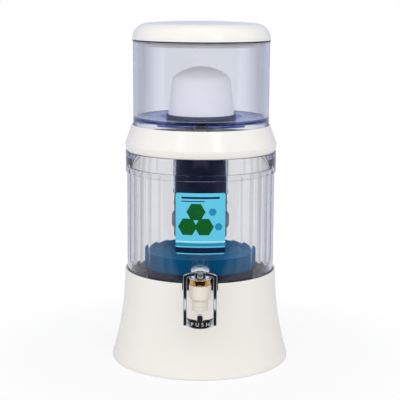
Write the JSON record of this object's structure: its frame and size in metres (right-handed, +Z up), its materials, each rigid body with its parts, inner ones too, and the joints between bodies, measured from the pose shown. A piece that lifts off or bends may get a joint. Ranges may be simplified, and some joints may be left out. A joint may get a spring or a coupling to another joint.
{
  "type": "gravity water filter with tap",
  "caption": "Gravity water filter: clear upper tank with ceramic dome and hanging cartridge over a clear lower tank with mineral tray, flared stand and push tap.",
  "frame": {"origin": "under the middle of the whole object, tap included, on the surface that the stand rests on", "axes": "+Z up along the tanks' axis, the tap faces -Y, +X to the right of someone standing behind the filter and to the right of the picture plane seen from the tap's side"},
  "size_m": [0.274, 0.3096, 0.5221],
  "materials": {
    "stand_plastic": "glossy ivory white moulding",
    "clear_plastic": "clear plastic with a faint lavender blue tint",
    "label_film": "printed glossy film",
    "tray_plastic": "translucent deep blue plastic",
    "cover_plastic": "translucent steel blue plastic",
    "stone_grey": "tumbled stones",
    "white_plastic": "glossy white moulding",
    "ceramic_white": "fine unglazed ceramic",
    "slate_plastic": "dark slate blue plastic",
    "rubber_dark": "silicone rubber",
    "carbon_black": "activated carbon granules",
    "felt_white": "pressed fibre",
    "housing_plastic": "dark plastic",
    "zeolite_grey": "mineral granules",
    "silica_sand": "sand",
    "tap_plastic": "glossy ivory moulding",
    "silicone_clear": "silicone rubber",
    "gold_plate": "polished gold-coloured plating",
    "chrome_plate": "bright chrome plating",
    "spring_steel": "stainless wire",
    "black_plastic": "black plastic"
  },
  "bodies": {
    "stand": {"base_stand": "stand_plastic"},
    "tank": {"lower_tank": "clear_plastic", "front_label": "label_film", "tap_body": "tap_plastic", "tap_outer_washer": "silicone_clear", "tap_inner_washer": "silicone_clear", "tap_nut": "tap_plastic", "gold_ring": "gold_plate", "tap_bonnet": "chrome_plate", "lever_pin": "spring_steel"},
    "tray": {"tray_bowl": "tray_plastic", "tray_cover": "cover_plastic", "mineral_stones": "stone_grey"},
    "ring": {"middle_ring": "white_plastic"},
    "upper": {"upper_tank": "clear_plastic", "ceramic_dome": "ceramic_white", "dome_plate": "slate_plastic", "dome_gasket": "rubber_dark", "wing_nut": "slate_plastic", "cartridge_head": "housing_plastic", "cartridge_sleeve": "clear_plastic", "carbon_bed": "carbon_black", "felt_pads": "felt_white", "mineral_housing": "housing_plastic", "zeolite_bed": "zeolite_grey", "silica_bed": "silica_sand", "coupling_ring": "slate_plastic", "cartridge_foot": "housing_plastic"},
    "lid": {"lid": "white_plastic"},
    "lever": {"push_lever": "chrome_plate", "lever_tongue": "black_plastic", "lever_screw": "spring_steel"},
    "valve": {"valve_stem": "spring_steel", "valve_seal": "silicone_clear", "valve_spring": "spring_steel"}
  },
  "joints": [
    {"name": "tank_lift", "type": "slide", "parent": "stand", "child": "tank", "axis": [0, 0, 1], "range_m": [0, 0.06]},
    {"name": "tray_lift", "type": "slide", "parent": "tank", "child": "tray", "axis": [0, 0, 1], "range_m": [0, 0.02]},
    {"name": "ring_lift", "type": "slide", "parent": "tank", "child": "ring", "axis": [0, 0, 1], "range_m": [0, 0.04]},
    {"name": "upper_lift", "type": "slide", "parent": "ring", "child": "upper", "axis": [0, 0, 1], "range_m": [0, 0.19]},
    {"name": "lid_lift", "type": "slide", "parent": "upper", "child": "lid", "axis": [0, 0, 1], "range_m": [0, 0.06]},
    {"name": "lever_push", "type": "hinge", "parent": "tank", "child": "lever", "pos_m": [0, -0.14375, 0.167], "axis": [1, 0, 0], "range_deg": [0, 12], "stiffness_Nm_per_rad": 0.8, "springref_deg": -11.46},
    {"name": "valve_lift", "type": "slide", "parent": "tank", "child": "valve", "axis": [0, 0, 1], "range_m": [0, 0.0021], "deforming": ["valve_spring"]}
  ],
  "couplings": [
    {"joint": "valve_lift", "follows": "lever_push", "m_per_rad": 0.01}
  ]
}
